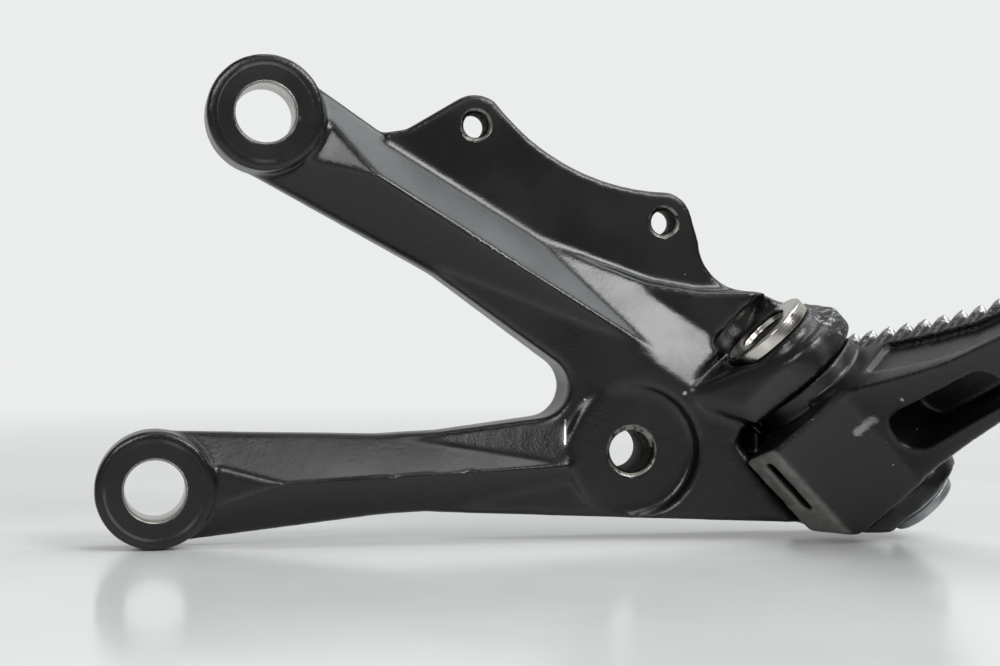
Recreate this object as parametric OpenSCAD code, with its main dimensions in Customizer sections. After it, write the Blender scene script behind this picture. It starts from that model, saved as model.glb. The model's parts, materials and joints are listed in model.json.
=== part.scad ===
// Motorcycle footrest bracket with a folding, sprung footpeg
// X runs along the bracket, Y runs away from the outer side, Z is up as the bracket stands
// The origin is the axis of the lower mounting eye at its outer face

/* [Mounting eyes] */
// Upper eye, distance along X from the lower eye
eye_pitch_x = 21.7; // [18:0.1:25]
// Upper eye, height above the lower eye
eye_pitch_z = 75; // [68:0.5:82]
// Bore of both eyes
eye_bore_d = 12; // [8:0.1:13]
// Outside diameter of both eyes
eye_d = 23.6; // [22:0.1:25]
// Depth of the casting from the eye face to the back face
body_t = 12; // [10:0.1:14]
// Chamfer at each end of the eye bores
bore_chamfer = 0.4; // [0.2:0.1:1]

/* [Arms] */
// Slope of the upper arm below horizontal
upper_dip = 31.7; // [28:0.1:35]
// Rise of the lower arm above horizontal
lower_rise = 2.7; // [0:0.1:5]
// Start of each ridge, measured from its eye
ridge_start = 25.4; // [22:0.1:30]
// Height of each ridge over the eye faces at its start
ridge_proud = 2.8; // [1:0.1:4]
// Height that each ridge gains for 100 mm of its length
ridge_gain = 1.1; // [0:0.1:3]
// Half width of the arms at the eyes
arm_root_w = 11.4; // [10.5:0.1:11.7]
// Half width of the upper arm at its narrow end
upper_w = 8.9; // [7:0.1:10]
// Half width of the lower arm at its narrow end
lower_w = 8.2; // [7:0.1:9]
// Depth of the arm edges behind the eye faces
arm_edge_y = 4.8; // [3:0.1:7]
// Depth of the facet beside each eye below the eye face
hip_y = 2; // [0.5:0.1:3]

/* [Hub and boss] */
// Pivot boss, distance along X from the lower eye
boss_x = 96.4; // [94:0.1:100]
// Pivot boss, height above the lower eye
boss_z = 6.8; // [5:0.1:8]
// Diameter of the spot face around the pivot hole
boss_d = 26.8; // [24:0.1:28]
// Height of the spot face over the eye faces
boss_proud = 2.2; // [1:0.1:3]
// Length of the boss behind the back face
boss_back = 0.8; // [0:0.1:3]
// Thread core of the pivot hole, for an M10 bolt
pivot_core_d = 8.5; // [6:0.1:9]
// Web face, depth where it leaves the arms
web_y = 4.8; // [3:0.1:5.5]
// Web face, lean towards the hub in degrees
web_turn = 10.5; // [8:0.1:12]
// Shoulder face, tilt upwards in degrees
shoulder_tip = 19.6; // [15:0.1:22]
// Shoulder face, turn to the side in degrees
shoulder_turn = 3.5; // [0:0.1:6]

/* [Guard lug] */
// First guard hole, distance along X
guard1_x = 65; // [62:0.1:68]
// First guard hole, height
guard1_z = 73.9; // [72:0.1:76]
// Second guard hole, distance along X
guard2_x = 105.2; // [102:0.1:107]
// Second guard hole, height
guard2_z = 54.4; // [53:0.1:56]
// Thread core of the guard holes, for M6 screws
guard_core_d = 5; // [4:0.1:5.5]
// Radius of the rounded pads around the guard holes
guard_pad_r = 6.4; // [5.5:0.1:7]
// Depth of the guard lug behind the eye faces
guard_y = 4; // [3:0.1:5]
// Thickness of the guard lug
guard_t = 7.7; // [5:0.1:8]
// Countersink depth at the guard holes
guard_sink = 0.9; // [0.3:0.1:1.5]

/* [Hinge] */
// Hinge reference point, distance along X
hinge_x = 127; // [125:0.1:129]
// Hinge axis, height over the eye faces
hinge_proud = 5.1; // [4:0.1:6]
// Hinge reference point, height above the lower eye
hinge_z = 28.7; // [27:0.1:30]
// Dip of the hinge axis below horizontal
hinge_dip = 47; // [45:0.5:50]
// Outward toe of the hinge axis
hinge_toe = 3; // [1:0.5:5]
// Radius of the upper clevis lug
lug_r = 12.2; // [12:0.1:13]
// Radius of the lower clevis lug
low_lug_r = 11.4; // [10.8:0.1:12]
// Thickness of the upper clevis lug with its pad
upper_lug_t = 8; // [7:0.1:9]
// Height of the round pad under the pin head
pad_h = 2; // [1:0.1:2.5]
// Width between the clevis lugs
clevis_gap = 29.9; // [29:0.1:30.5]
// Thickness of the lower clevis lug
lower_lug_t = 5.1; // [4:0.1:8]
// Depth of the ledge between the lugs below the pin axis
ledge_drop = 13.4; // [13:0.1:14]
// Hinge pin diameter
pin_d = 8; // [6:0.1:9]
// Running clearance of the pin in its bores, on the diameter
pin_clearance = 0.1; // [0.06:0.02:0.2]
// Head diameter of the hinge pin
pin_head_d = 19; // [16:0.1:20]
// Head thickness of the hinge pin
pin_head_t = 3.1; // [2:0.1:4]
// Height of the face under the pin head over the hinge reference point
head_lift = 1.5; // [1:0.1:2]
// Recess diameter in the pin head
pin_recess_d = 10.4; // [6:0.1:12]
// Recess depth in the pin head
pin_recess_h = 1.8; // [0.6:0.1:1.9]
// Washer diameter under the retaining cap
washer_d = 16; // [14:0.1:17]
// Washer thickness
washer_t = 1.2; // [1:0.1:2]
// Retaining cap diameter
cap_d = 15.2; // [13:0.1:15.6]
// Retaining cap height
cap_h = 2.8; // [2.2:0.1:4]
// Thickness of the closed end of the cap
cap_wall = 0.8; // [0.6:0.1:1]

/* [Footpeg] */
// Rise of the footpeg over the bracket normal, at rest
peg_rise = 22.4; // [18:0.1:26]
// Side clearance of the footpeg in the clevis
peg_side_gap = 0.3; // [0.2:0.05:0.6]
// Middle of the tread, measured along the pin from the face under the pin head
peg_mid = 24.75; // [24:0.05:25.5]
// Half width of the tread at its root
root_w = 15; // [14:0.1:15.6]
// Radius of the footpeg barrel
barrel_r = 12; // [11:0.1:12.4]
// Reach of the footpeg from the hinge axis to its tip
peg_reach = 78; // [70:1:90]
// Half width of the footpeg at its waist
peg_waist = 8; // [7:0.1:11]
// Distance of the waist from the hinge axis
waist_y = 41; // [36:1:46]
// Height of the tread over the hinge axis
tread_z = 11.2; // [10:0.1:12]
// Height of the teeth
tooth_h = 2.8; // [1.5:0.1:4]
// Pitch of the teeth
tooth_pitch = 4.9; // [4:0.1:6]
// Width of the toothed rim
rim_w = 4; // [3:0.1:5]
// Depth of the sunk floor inside the rim
floor_sink = 4; // [1:0.1:6]
// Depth of the flutes under the teeth
flute_in = 0.8; // [0.4:0.1:1.2]
// Length of the flutes under the teeth
flute_h = 3.2; // [2:0.1:5]
// Underside of the footpeg at its root, below the hinge axis
under_z = 8; // [6:0.1:9]
// Rise of the underside towards the tip in degrees
under_rise = 6; // [3:0.5:8]
// Depth of the channel along each side
channel_in = 1.6; // [0.5:0.1:2.5]
// Width of the side channels
channel_w = 9; // [5:0.1:10]
// Length of the heel below the hinge axis
heel_z = 22; // [20:0.1:23]
// Thickness of the heel at its end
heel_t = 9.8; // [4:0.1:12]
// Gap between the heel and its stop on the bracket
stop_gap = 0.1; // [0.05:0.05:0.3]
// Step back of the heel from the upper lug
heel_step = 4; // [3:0.1:8]

/* [Return spring] */
// Wire diameter of the return spring
wire_d = 1.6; // [1.2:0.1:1.8]
// Mean diameter of the coil
coil_d = 12.4; // [11.6:0.1:13]
// Turns of the coil
coil_turns = 4; // [3:1:5]
// Pitch of the coil
coil_pitch = 1.9; // [1.8:0.05:2.2]
// Clearance around the coil in its pocket
coil_clearance = 0.8; // [0.4:0.1:1.5]

/* [Hidden] */
$fn = 64;
far = 300;
e = 0.01;
cast_black = [0.07, 0.07, 0.075];
bright_steel = [0.75, 0.75, 0.74];
zinc_grey = [0.62, 0.63, 0.64];
spring_steel = [0.3, 0.3, 0.31];

upper_eye = [eye_pitch_x, eye_pitch_z];
lower_eye = [0, 0];
eye_r = eye_d / 2;
front_y = -40;
foot_z = -eye_r;
head_gap = 0.8;
hinge_foot_z = -9.9;
ledge_y = -9.5;
lip_y = 14;
lip_z = -6;
lug_top_z = 13.2;
upper_len = 99;
lower_len = 86;
taper_u = 45;
hip_u = 10;
arc_bite = 0.05;
// Bit by which the guard lug of the clevis reaches past its face before the room for the barrel trims it
face_bite = 0.02;
notch_r = 6.5;
notch_c = [77.1, 20];
notch_top = -36.2;
notch_low = 7.5;
web_x0 = 53;
bottom_x = 56;
bottom_z = -5.8;
corner_x = 133.9;
corner_z = -8.2;
top_z = 39.8;
crown_x = 100.9;
crown_y = 1.3;
flank_low = [106.8, -4.6, 17.5];
flank_top = [123.9, -2.5, 39.4];
flank_back = [111.6, 7.6, 12.6];
scallop_r = 47.3;
crook_r = 11;
crook = [124, 51];
ledge_z = -ledge_drop;
base_z = -20;
back_y = body_t + hinge_proud;
clevis_len = upper_lug_t + clevis_gap + lower_lug_t;
heel_back = 6.3;
slot_x = [-8.85, 1.55];
slot_y = 0.6;
slot_r = 1.3;
// Gap between the guard lug and the ledge, seen from the front
window = [[118.9, 11.4], [118.9, 7.7], [121.9, 4.9], [126, 4.9], [126, 11.4]];
window_y = 2.5;
// Back wall of the upper lug behind the pin head, from the front
lug_back = [[123, 29], [124.2, 38.9], [128.6, 39.1], [131.6, 37.8], [136, 37], [136, 29]];
lug_back_y = 5.2;
// Relief of the bracket behind the end of the heel, below the stop
relief = 0.6;
relief_top = -19;
boss = [boss_x, boss_z];
half_root = root_w;
barrel_x0 = upper_lug_t + peg_side_gap - peg_mid;
barrel_x1 = upper_lug_t + clevis_gap - peg_side_gap - peg_mid;
tip_r = peg_waist - 0.6;
root_y = 3.5;
tooth_n = floor((peg_reach + root_y) / tooth_pitch);
channel_z = -1.5;
pocket_x0 = -5.2;
spring_len = coil_turns * coil_pitch + wire_d;
pocket_w = spring_len + 2 * coil_clearance;
pin_end = clevis_len + washer_t + cap_h - cap_wall - 0.2;
spring_x0 = pocket_x0 + coil_clearance + wire_d / 2;

// Height of the arm ridge at a distance along its arm
function ridge_y(u) = -ridge_proud - ridge_gain * (u - ridge_start) / 100;
// Point at a distance along and across an arm, in X and Z
function on_arm(eye, angle, u, v) = eye + [u * cos(angle) - v * sin(angle), u * sin(angle) + v * cos(angle)];

// Profile in X and Z, made a solid between two depths
module plate(y0, y1) {
    translate([0, y1, 0]) rotate([90, 0, 0]) linear_extrude(y1 - y0) children();
}

// Cylinder along Y between two depths, at a place in X and Z
module bar_y(p, d, y0, y1) {
    translate([p[0], y1, p[1]]) rotate([90, 0, 0]) cylinder(d = d, h = y1 - y0);
}

// Everything behind the plane through a point, turned sideways and tipped up, or in front of it
module behind(p, turn, tip, front = false) {
    translate(p) rotate([0, 0, turn]) rotate([-tip, 0, 0])
        translate([-far / 2, front ? -far : 0, -far / 2]) cube(far);
}

// Everything behind the plane through three points, each as X, Y, Z, or in front of it
module behind_points(p, q, r, front = false) {
    c = cross(q - p, r - p);
    n = c[1] < 0 ? c / norm(c) : -c / norm(c);
    behind(p, atan2(n[0], -n[1]), asin(n[2]), front);
}

// Frame of the hinge: X along the pin from the outer face of the upper lug, Z up as mounted
module at_hinge() {
    translate([hinge_x, -hinge_proud, hinge_z]) rotate([0, hinge_dip, 0]) rotate([0, 0, -hinge_toe]) children();
}

// Frame of the footpeg: X from its middle along the pin, -Y to its tip, Z up from the tread
module at_peg() {
    at_hinge() translate([peg_mid, 0, 0]) rotate([-peg_rise, 0, 0]) children();
}

// Profile in Y and Z of the hinge, extruded along the pin
module along_pin(x0, x1) {
    translate([x0, 0, 0]) rotate([90, 0, 90]) linear_extrude(x1 - x0) children();
}

// Cylinder along the pin between two places
module pin_bar(d, x0, x1) {
    translate([x0, 0, 0]) rotate([0, 90, 0]) cylinder(d = d, h = x1 - x0);
}

// Arms with a ridge along the middle and a facet next to the eye
module arm(eye, angle, w, len) {
    across = eye == upper_eye ? 0.86 : -0.2;
    p0 = on_arm(eye, angle, ridge_start, across);
    p1 = on_arm(eye, angle, len, across);
    edge = on_arm(eye, angle, taper_u, across + w);
    low = on_arm(eye, angle, taper_u, across - w);
    a = [p0[0], ridge_y(ridge_start), p0[1]];
    b = [p1[0], ridge_y(len), p1[1]];
    h1 = on_arm(eye, angle, hip_u, w);
    h2 = on_arm(eye, angle, hip_u, -w);
    intersection() {
        plate(front_y, body_t) polygon([for (q = [[0, arm_root_w], [taper_u, w], [len, w],
            [len, -w], [taper_u, -w], [0, -arm_root_w]]) on_arm(eye, angle, q[0], q[1])]);
        behind_points(a, b, [edge[0], arm_edge_y, edge[1]]);
        behind_points(a, b, [low[0], arm_edge_y, low[1]]);
        behind_points(a, [h1[0], hip_y, h1[1]], [h2[0], hip_y, h2[1]]);
    }
}

// Hub and web: a face leaning to the hub and a tilted shoulder face that meet in an edge
module notch_outline() {
    r = notch_r - arc_bite;
    a = notch_c + r * [-sin(notch_top), cos(notch_top)];
    b = notch_c + r * [sin(notch_low), -cos(notch_low)];
    translate(notch_c) circle(notch_r);
    polygon([a, a - 45 * [cos(notch_top), sin(notch_top)], b - 45 * [cos(notch_low), sin(notch_low)], b]);
}
module hub_outline() {
    difference() {
        polygon([
            on_arm(upper_eye, -upper_dip, taper_u - 1, 0),
            on_arm(upper_eye, -upper_dip, 60, 8.5),
            [90, 45.8], [101.7, 41.6], [112, top_z], [127, top_z], [130, 37.6],
            [118.5, 7.8], [corner_x, corner_z], [bottom_x, bottom_z],
            on_arm(lower_eye, lower_rise, taper_u - 1, 0)]);
        notch_outline();
    }
}
module hub() {
    difference() {
        hub_faces();
        // Flank that falls back beside the pin head
        intersection() {
            behind_points(flank_low, flank_top, flank_back, true);
            plate(front_y, body_t + 1) polygon([[100, flank_low[2]], [150, flank_low[2]], [150, 60], [100, 60]]);
        }
    }
}
module hub_faces() {
    intersection() {
        plate(front_y, body_t) hub_outline();
        behind([web_x0, web_y, 0], -web_turn, 0);
        behind([73, guard_y, 52.1], shoulder_turn, shoulder_tip);
    }
    // Raised face beside the notch on the lower arm
    intersection() {
        plate(front_y, body_t) difference() {
            polygon([[44, 6], [44, 12], [84, 18], [84, 4]]);
            notch_outline();
        }
        behind([46, arm_edge_y, 10], -9.5, 15);
    }
    // Face turned to the side above the hinge
    intersection() {
        plate(front_y, body_t) polygon([[crown_x, 41.7], [112, top_z], [127, top_z], [130, 37.6], [118, 26], [crown_x, 36]]);
        behind([crown_x, crown_y, 40], -web_turn, 0);
    }
}

// Lug that carries the heel guard
module guard_outline() {
    p = [guard1_x, guard1_z];
    q = [guard2_x, guard2_z];
    d = norm(q - p);
    u = (q - p) / d;
    v = [-u[1], u[0]];
    reach = sqrt(pow(scallop_r + guard_pad_r - arc_bite, 2) - d * d / 4);
    for (c = [p, q]) translate(c) circle(guard_pad_r);
    difference() {
        polygon([
            [46.5, 72.2], [50.5, 72.7], p + guard_pad_r * [cos(119), sin(119)], p + guard_pad_r * v,
            q + guard_pad_r * v, q + guard_pad_r * [cos(15), sin(15)], [113, 50.5], crook, [crook[0], 38],
            [100, 38], on_arm(upper_eye, -upper_dip, 60, 4), on_arm(upper_eye, -upper_dip, 26, 4)]);
        translate((p + q) / 2 + v * reach) circle(scallop_r, $fn = 180);
        translate(crook) circle(crook_r);
    }
}
module guard_lug() {
    plate(guard_y, guard_y + guard_t) guard_outline();
}

// Clevis that holds the footpeg: two lugs and the ledge between them that stops the heel
module lug_outline(r) {
    circle(r);
    polygon([r * [-0.81, -0.59], [-8.5, base_z], [back_y, base_z], [back_y, 2], r * [0.76, 0.65]]);
}
module clevis() {
    at_hinge() along_pin(upper_lug_t + clevis_gap, clevis_len) lug_outline(low_lug_r);
    at_hinge() pin_bar(pin_head_d + 1.4, -head_lift, pad_h + 1);
    // Ledge between the lugs, cut to the slope of the heel
    difference() {
        at_hinge() along_pin(0, clevis_len) polygon([[ledge_y, base_z], [ledge_y, ledge_z], [lip_y, ledge_z],
            [lip_y + 1, lip_z], [back_y, lip_z], [back_y, base_z]]);
        at_peg() translate([-far / 2, heel_back + stop_gap - far, -far / 2]) cube(far);
    }
    hull() {
        at_hinge() {
            along_pin(pad_h, upper_lug_t + face_bite) circle(lug_r, $fn = 36);
            along_pin(pad_h, upper_lug_t - 1) translate([-1.5, 7.3]) circle(6.4, $fn = 24);
            along_pin(-0.5, upper_lug_t - 2) translate([9, 10]) circle(3, $fn = 24);
            along_pin(pad_h + 1, upper_lug_t + face_bite) polygon([[-6, base_z + 4], [back_y - 2, base_z + 4],
                [back_y - 2, lug_top_z], [0, lug_top_z]]);
        }
        plate(flank_low[1], body_t) polygon([[106.8, 18.6], [107.8, 16.8], [109, 18.8]]);
    }
    plate(lug_back_y, body_t - 0.6) polygon(lug_back);
}

module bracket() {
    color(cast_black) difference() {
        union() {
            for (p = [lower_eye, upper_eye]) bar_y(p, eye_d, 0, body_t);
            arm(upper_eye, -upper_dip, upper_w, upper_len);
            arm(lower_eye, lower_rise, lower_w, lower_len);
            hub();
            guard_lug();
            clevis();
            bar_y(boss, boss_d, -boss_proud, body_t + boss_back);
        }
        for (p = [lower_eye, upper_eye]) drilled(p, eye_bore_d, 0, body_t, bore_chamfer);
        for (p = [[guard1_x, guard1_z], [guard2_x, guard2_z]])
            drilled(p, guard_core_d, guard_y, guard_y + guard_t, guard_sink);
        drilled(boss, pivot_core_d, -boss_proud, body_t + boss_back, 0.6);
        bar_y(boss, boss_d, front_y, -boss_proud);
        // Room for the barrel of the footpeg between the lugs
        at_hinge() {
            along_pin(upper_lug_t, upper_lug_t + clevis_gap) barrel_room();
            along_pin(upper_lug_t, upper_lug_t + clevis_gap) heel_room();
            pin_bar(pin_d + pin_clearance, -pin_head_t - head_lift, clevis_len + 5);
            pin_bar(pin_head_d + head_gap, -3 * pin_head_t, -head_lift);
        }
        plate(front_y, window_y) polygon(window);
        translate([-far, -far, foot_z - 2 * far]) cube(2 * far);
        translate([130, -far, hinge_foot_z - 2 * far]) cube(2 * far);
    }
}
function behind_heel(z) = let (y = heel_back + relief, k = (z + y * sin(peg_rise)) / cos(peg_rise))
    [y * cos(peg_rise) + k * sin(peg_rise), z];
module heel_room() {
    polygon([[-60, -45], [-60, relief_top], behind_heel(relief_top), behind_heel(-45)]);
}
module barrel_room() {
    polygon([[-60, ledge_z], [-60, 60], [60, 60], [60, lip_z], [lip_y + 1, lip_z], [lip_y, ledge_z]]);
}
// Hole along Y with a chamfer at each mouth
module drilled(p, d, y0, y1, c) {
    bar_y(p, d, y0 - 1, y1 + 1);
    translate([p[0], y0, p[1]]) rotate([-90, 0, 0]) cylinder(d1 = d + 2 * c, d2 = d, h = c);
    translate([p[0], y1, p[1]]) rotate([90, 0, 0]) cylinder(d1 = d + 2 * c, d2 = d, h = c);
}

// Footpeg: barrel and heel at the hinge, a tapered body and a toothed rim around its tread
module tread_outline(inset) {
    r = tip_r - inset;
    translate([0, -(peg_reach - tip_r)]) circle(r);
    polygon([
        [half_root - inset, root_y - inset], [half_root - inset, -2],
        [half_root - 2.9 - inset, -16], [peg_waist + 1.5 - inset, -30], [peg_waist - inset, -waist_y],
        [r, -(peg_reach - tip_r)], [-r, -(peg_reach - tip_r)],
        [-peg_waist + inset, -waist_y], [-peg_waist - 1.5 + inset, -30], [-half_root + 2.9 + inset, -16],
        [-half_root + inset, -2], [-half_root + inset, root_y - inset]]);
}
// Half width of the tread at a distance along it
function tread_w(y) = lookup(-y, [[0, half_root], [2, half_root], [16, half_root - 2.9],
    [30, peg_waist + 1.5], [waist_y, peg_waist], [peg_reach - tip_r, tip_r]]);
module teeth() {
    intersection() {
        translate([0, 0, tread_z - e]) linear_extrude(tooth_h + e) difference() {
            tread_outline(0);
            tread_outline(rim_w);
        }
        translate([-half_root - 1, 0, 0]) rotate([90, 0, 90]) linear_extrude(2 * half_root + 2)
            for (i = [0 : tooth_n]) translate([root_y - i * tooth_pitch, tread_z])
                polygon([[0, -1], [0, 0], [-0.42 * tooth_pitch, tooth_h], [-0.58 * tooth_pitch, tooth_h],
                    [-tooth_pitch, 0], [-tooth_pitch, -1]]);
    }
}
module flutes() {
    flute_r = tooth_pitch * 0.42;
    for (i = [1 : tooth_n - 2], s = [-1, 1]) {
        y = root_y - i * tooth_pitch;
        translate([s * (tread_w(y) + flute_r - flute_in), y, tread_z - flute_h])
            cylinder(r = flute_r, h = flute_h + tooth_h + 1, $fn = 24);
    }
}
module footpeg_body() {
    // Tapered body under the tread
    intersection() {
        translate([0, 0, -under_z - 4]) linear_extrude(tread_z + under_z + 4) tread_outline(0);
        translate([-half_root, 0, 0]) rotate([90, 0, 90]) linear_extrude(2 * half_root) polygon([
            [root_y, tread_z], [root_y, 0], [-8, -under_z - 2.5], [-15, -under_z],
            [-peg_reach, -under_z + (peg_reach - 15) * tan(under_rise)], [-peg_reach, tread_z]]);
    }
    translate([barrel_x0, 0, 0]) rotate([0, 90, 0]) cylinder(r = barrel_r, h = barrel_x1 - barrel_x0, $fn = 96);
    // Heel below the hinge
    heel_x0 = barrel_x0 + heel_step;
    translate([heel_x0, 0, 0]) rotate([90, 0, 90]) linear_extrude(barrel_x1 - heel_x0) polygon([
        [heel_back, 0], [heel_back, -heel_z], [heel_back - heel_t, -heel_z], [-15, -under_z - 0.5], [-15, 0]]);
}
module footpeg() {
    color(cast_black) difference() {
        at_peg() footpeg_shape();
        translate([-far, -far, hinge_foot_z - 2 * far]) cube(2 * far);
    }
}
module footpeg_shape() {
    difference() {
        union() {
            footpeg_body();
            teeth();
        }
        flutes();
        // Flat on the far side that clears the lower lug
        translate([barrel_x1, -far / 2, -far / 2]) cube(far);
        // Sunk floor inside the rim
        translate([0, 0, tread_z - floor_sink]) linear_extrude(20) intersection() {
            tread_outline(rim_w);
            translate([-40, -far - 12]) square([80, far]);
        }
        // Channel along each side
        for (s = [-1, 1]) intersection() {
            translate([0, 0, channel_z]) linear_extrude(channel_w) difference() {
                translate([0, -far - 17]) translate([-40, 0]) square([80, far]);
                tread_outline(channel_in);
            }
            translate([s > 0 ? 0 : -40, -peg_reach + 12, -40]) cube([40, peg_reach, 80]);
        }
        // Hollow in the underside
        hollow();
        rotate([0, 90, 0]) translate([0, 0, -40]) cylinder(d = pin_d + pin_clearance, h = 80);
        spring_pocket();
        // Slot in the end of the heel
        translate([0, slot_y, -heel_z - 1]) linear_extrude(3.5) heel_slot();
    }
}
module heel_slot() {
    for (x = slot_x) translate([x, 0]) circle(slot_r);
    translate([slot_x[0], -slot_r]) square([slot_x[1] - slot_x[0], 2 * slot_r]);
}
module hollow() {
    floor_z = tread_z - floor_sink - 3;
    translate([0, 0, floor_z - 40]) linear_extrude(40) {
        translate([1.6, -22]) circle(4.6);
        translate([0.6, -44]) circle(4);
        polygon([[-3, -22], [-3.4, -44], [4.6, -44], [6.2, -22]]);
    }
}
module spring_pocket() {
    r = coil_d / 2 + wire_d / 2 + coil_clearance;
    translate([pocket_x0, 0, 0]) rotate([0, 90, 0]) cylinder(r = r, h = pocket_w);
    translate([pocket_x0, 0, -r]) cube([pocket_w, 20, 2 * r]);
}

// Hinge pin with a recessed head and a plain end
module hinge_pin() {
    color(bright_steel) at_hinge() difference() {
        union() {
            pin_bar(pin_head_d, -head_lift - pin_head_t, -head_lift);
            pin_bar(pin_d, -head_lift - 0.1, pin_end);
        }
        pin_bar(pin_recess_d, -head_lift - pin_head_t - 1, -head_lift - pin_head_t + pin_recess_h);
    }
}
module pin_washer() {
    color(zinc_grey) at_hinge() difference() {
        pin_bar(washer_d, clevis_len, clevis_len + washer_t);
        pin_bar(pin_d + 0.4, clevis_len - 1, clevis_len + washer_t + 1);
    }
}
// Cap pushed onto the plain end of the pin
module retaining_cap() {
    x0 = clevis_len + washer_t + 0.02;
    color(zinc_grey) at_hinge() difference() {
        union() {
            pin_bar(cap_d, x0, x0 + cap_h - 0.9);
            translate([x0 + cap_h - 0.9, 0, 0]) rotate([0, 90, 0]) cylinder(d1 = cap_d, d2 = cap_d - 2.4, h = 0.9);
        }
        pin_bar(pin_d, x0 - 1, x0 + cap_h - cap_wall);
    }
}

// Torsion spring around the pin, without its legs
function coil_point(t) = [spring_x0 + coil_pitch * t, coil_d / 2 * cos(360 * t - 40), coil_d / 2 * sin(360 * t - 40)];
module return_spring() {
    steps = 20;
    n = coil_turns * steps;
    sides = 8;
    path = [for (i = [0 : n]) coil_point(i / steps)];
    color(spring_steel) at_peg() tube(path, wire_d, sides);
}
// Round wire along a list of points
module tube(path, d, sides) {
    m = len(path);
    dir = [for (i = [0 : m - 1]) let (v = path[min(i + 1, m - 1)] - path[max(i - 1, 0)]) v / norm(v)];
    pts = [for (i = [0 : m - 1]) let (
            s = cross(dir[i], [1, 0, 0.02]),
            u = s / norm(s),
            w = cross(dir[i], u))
        for (k = [0 : sides - 1]) path[i] + d / 2 * (u * cos(360 * k / sides) + w * sin(360 * k / sides))];
    polyhedron(pts, concat(
        [[for (k = [0 : sides - 1]) k]],
        [for (i = [0 : m - 2], k = [0 : sides - 1]) let (j = (k + 1) % sides)
            [i * sides + k, (i + 1) * sides + k, (i + 1) * sides + j, i * sides + j]],
        [[for (k = [sides - 1 : -1 : 0]) (m - 1) * sides + k]]));
}

bracket();
footpeg();
hinge_pin();
pin_washer();
retaining_cap();
return_spring();
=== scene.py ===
"""Folding footrest bracket, dressed over its fixed frame.

The castings are the frame's own shapes with cast radii worked into them and with
their machined holes cut fresh; the turned pieces are spun from their profiles.
"""

import json
import logging
import math
from dataclasses import dataclass, field
from enum import Enum

import bmesh
import bpy
import numpy as np
from mathutils import Matrix, Vector

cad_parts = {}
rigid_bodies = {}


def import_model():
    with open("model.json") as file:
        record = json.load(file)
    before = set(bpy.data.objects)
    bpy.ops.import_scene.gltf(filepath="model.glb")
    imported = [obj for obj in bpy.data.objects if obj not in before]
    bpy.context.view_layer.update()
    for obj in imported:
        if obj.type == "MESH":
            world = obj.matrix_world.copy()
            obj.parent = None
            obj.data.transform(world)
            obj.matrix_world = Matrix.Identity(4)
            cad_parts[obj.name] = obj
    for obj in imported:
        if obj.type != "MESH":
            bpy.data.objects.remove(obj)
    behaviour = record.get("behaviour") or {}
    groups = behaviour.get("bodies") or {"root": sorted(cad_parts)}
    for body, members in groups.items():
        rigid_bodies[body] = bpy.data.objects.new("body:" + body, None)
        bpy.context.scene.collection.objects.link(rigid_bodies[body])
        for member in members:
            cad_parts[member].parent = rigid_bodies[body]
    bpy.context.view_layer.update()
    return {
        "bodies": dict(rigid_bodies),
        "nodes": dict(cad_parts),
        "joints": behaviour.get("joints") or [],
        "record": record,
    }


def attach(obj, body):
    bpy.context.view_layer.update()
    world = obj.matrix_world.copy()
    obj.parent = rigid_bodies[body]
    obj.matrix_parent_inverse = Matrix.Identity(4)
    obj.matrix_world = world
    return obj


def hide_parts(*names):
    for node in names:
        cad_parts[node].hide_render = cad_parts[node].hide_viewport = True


MM = 0.001
WELD = 1e-7  # points nearer to each other than this, in metres, are one
CAST_CREASE_DEG = 62.0  # sharper edges of a casting stay hard
BACKDROP = "#EBEDEC"
SMOOTH = {"interpolation_type": "SMOOTHSTEP"}
LOG = logging.getLogger("footrest")


class Body(Enum):
    """The two rigid bodies that the pieces ride on."""

    BRACKET = "bracket"
    FOOTPEG = "footpeg"


class Slot(Enum):
    """The record's material slots, by name."""

    CAST_BLACK = "cast_black"
    BRIGHT_STEEL = "bright_steel"
    ZINC_GREY = "zinc_grey"


# Small tools


def linear(hex_colour: str) -> tuple[float, float, float, float]:
    """Turn an sRGB hex colour into linear light.

    Args:
        hex_colour: Six hex digits with a leading #.

    Returns:
        Linear red, green and blue, with an alpha of 1.
    """
    parts = [int(hex_colour[i : i + 2], 16) / 255 for i in (1, 3, 5)]
    light = [c / 12.92 if c <= 0.04045 else ((c + 0.055) / 1.055) ** 2.4 for c in parts]
    return (light[0], light[1], light[2], 1.0)


def per_mm(size_mm: float) -> float:
    """Pattern scale on Object coordinates in metres for a feature of size_mm."""
    return 1000.0 / size_mm


def add(tree: bpy.types.NodeTree, kind: str, inputs: dict | None = None,
        **settings: object) -> bpy.types.Node:
    """Add a node with its settings and links.

    Args:
        tree: The node tree to add it to.
        kind: The node's type name.
        inputs: Socket name or number to a value, or to the output socket that feeds it.
        settings: The node's own properties.

    Returns:
        The new node.
    """
    node = tree.nodes.new(kind)
    for name, value in settings.items():
        setattr(node, name, value)
    for key, value in (inputs or {}).items():
        if isinstance(value, bpy.types.NodeSocket):
            tree.links.new(value, node.inputs[key])
        else:
            node.inputs[key].default_value = value
    return node


def fresh_material(name: str) -> tuple[bpy.types.Material, bpy.types.NodeTree, bpy.types.NodeSocket]:
    """Make an empty node material.

    Args:
        name: The finish's name.

    Returns:
        The material, its tree and the Object coordinate socket.
    """
    material = bpy.data.materials.new(name)
    material.use_nodes = True
    tree = material.node_tree
    tree.nodes.clear()
    place = add(tree, "ShaderNodeTexCoord")
    return material, tree, place.outputs["Object"]


def close_material(tree: bpy.types.NodeTree, shader: bpy.types.Node) -> None:
    """Link a shader to a new material output."""
    add(tree, "ShaderNodeOutputMaterial", {"Surface": shader.outputs[0]})


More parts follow.
